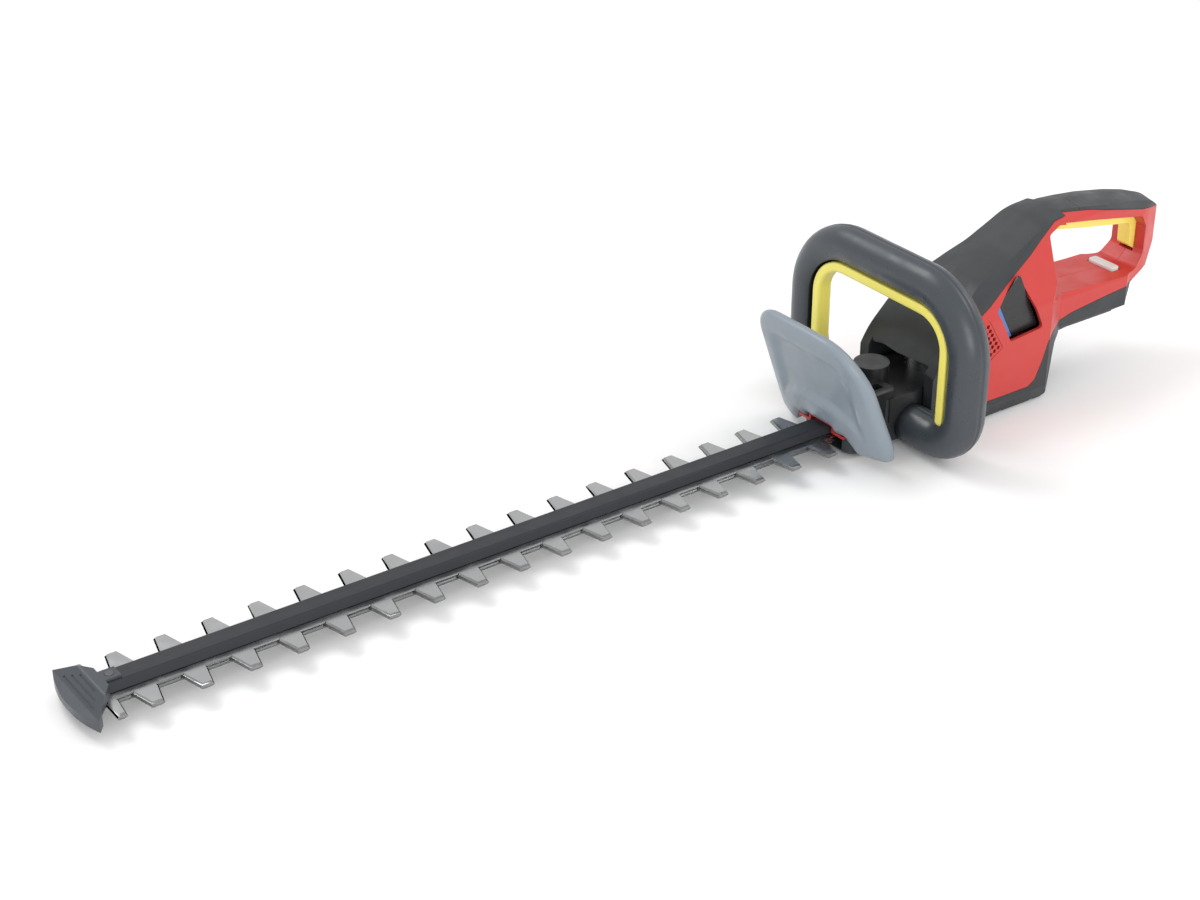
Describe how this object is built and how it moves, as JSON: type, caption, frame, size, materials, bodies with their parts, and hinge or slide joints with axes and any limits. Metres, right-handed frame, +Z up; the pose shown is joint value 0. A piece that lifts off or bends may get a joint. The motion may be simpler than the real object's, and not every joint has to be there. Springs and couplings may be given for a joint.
{
  "type": "cordless hedge trimmer",
  "caption": "Battery hedge trimmer with a long double-sided reciprocating blade, front hoop handle, rear D handle and hand shield.",
  "frame": {"origin": "on the ground under the middle of the overall length, on the machine's centre plane", "axes": "+X forward along the cutter bar to its tip, +Y to the machine's left, +Z up"},
  "size_m": [0.9732, 0.2108, 0.1534],
  "materials": {
    "blade_steel": "ground steel",
    "bar_alloy": "dark anodised",
    "bright_steel": "bright",
    "dark_steel": "blackened",
    "cast_alloy": "black painted casting",
    "red_plate": "satin paint",
    "red_shell": "satin",
    "black_shell": "fine grain",
    "slate_grip": "satin",
    "yellow_switch": "satin",
    "shield_grey": "satin",
    "button_white": "satin",
    "badge_black": "gloss",
    "stripe_blue": "gloss",
    "copper_wire": "enamelled",
    "contact_brass": "plated",
    "board_green": "satin",
    "switch_black": "matte",
    "gear_steel": "oiled"
  },
  "bodies": {
    "chassis": {"guide_bar": "bar_alloy", "blade_bolts": "bright_steel", "blade_washers": "bright_steel", "tip_protector": "slate_grip", "tip_screw": "dark_steel", "bridge_plate": "red_plate", "bar_screws": "dark_steel", "crank_bearings": "bright_steel", "idler_pin": "bright_steel", "motor_can": "bright_steel", "motor_stator": "dark_steel", "motor_windings": "copper_wire", "motor_bearings": "bright_steel", "motor_end_cap": "switch_black", "motor_screws": "dark_steel", "gear_case": "cast_alloy", "gear_case_base": "cast_alloy", "case_screws": "dark_steel", "blade_pan": "black_shell", "pan_screws": "dark_steel", "hand_shield": "shield_grey", "shield_screws": "dark_steel", "loop_front": "slate_grip", "loop_rear": "slate_grip", "loop_clamp_screws": "dark_steel", "loop_mount_screws": "dark_steel", "bail_springs": "bright_steel", "bail_switch": "switch_black", "left_cover": "red_shell", "right_cover": "red_shell", "top_cover": "black_shell", "handle_cap": "black_shell", "lower_housing": "black_shell", "vent_grilles": "red_shell", "badges": "badge_black", "badge_stripes": "stripe_blue", "trigger_pin": "bright_steel", "trigger_spring": "bright_steel", "grip_switch": "switch_black", "button_board": "board_green", "control_board": "board_green", "heat_sink": "bright_steel", "terminal_block": "switch_black", "terminals": "contact_brass", "battery_rails": "black_shell", "cover_screws": "dark_steel", "housing_screws": "dark_steel"},
    "crank": {"crank_gear": "gear_steel", "crankshaft": "gear_steel"},
    "idler": {"idler_gear": "gear_steel"},
    "rotor": {"motor_rotor": "gear_steel", "motor_pinion": "gear_steel", "cooling_fan": "switch_black"},
    "upper_cutter": {"upper_blade": "blade_steel"},
    "lower_cutter": {"lower_blade": "blade_steel"},
    "bail": {"switch_bail": "yellow_switch"},
    "trigger": {"grip_trigger": "yellow_switch"},
    "button": {"power_button": "button_white"}
  },
  "joints": [
    {"name": "crank_spin", "type": "hinge", "parent": "chassis", "child": "crank", "pos_m": [-0.1864, 0, 0.03], "axis": [0, 0, 1], "continuous": true},
    {"name": "idler_spin", "type": "hinge", "parent": "chassis", "child": "idler", "pos_m": [-0.2289, 0, 0.03], "axis": [0, 0, 1], "continuous": true},
    {"name": "rotor_spin", "type": "hinge", "parent": "chassis", "child": "rotor", "pos_m": [-0.2514, 0, 0.03], "axis": [0, 0, 1], "continuous": true},
    {"name": "upper_blade_slide", "type": "slide", "parent": "chassis", "child": "upper_cutter", "axis": [1, 0, 0], "range_m": [-0.0075, 0.0075]},
    {"name": "lower_blade_slide", "type": "slide", "parent": "chassis", "child": "lower_cutter", "axis": [1, 0, 0], "range_m": [-0.0075, 0.0075]},
    {"name": "bail_lift", "type": "slide", "parent": "chassis", "child": "bail", "axis": [0, 0, 1], "range_m": [0, 0.004], "stiffness_N_per_m": 1500, "springref_m": -0.004, "deforming": ["bail_springs"]},
    {"name": "trigger_hinge", "type": "hinge", "parent": "chassis", "child": "trigger", "pos_m": [-0.4719, 0, 0.092], "axis": [0, -1, 0], "range_deg": [0, 3], "stiffness_Nm_per_rad": 2, "springref_deg": -2.86, "deforming": ["trigger_spring"]},
    {"name": "button_press", "type": "slide", "parent": "chassis", "child": "button", "axis": [0, 0, -1], "range_m": [0, 0.001], "stiffness_N_per_m": 2000, "springref_m": -0.001}
  ],
  "couplings": [
    {"joint": "idler_spin", "follows": "crank_spin", "ratio": -1.8333},
    {"joint": "rotor_spin", "follows": "crank_spin", "ratio": 3.6667},
    {"joint": "lower_blade_slide", "follows": "upper_blade_slide", "ratio": -1}
  ]
}
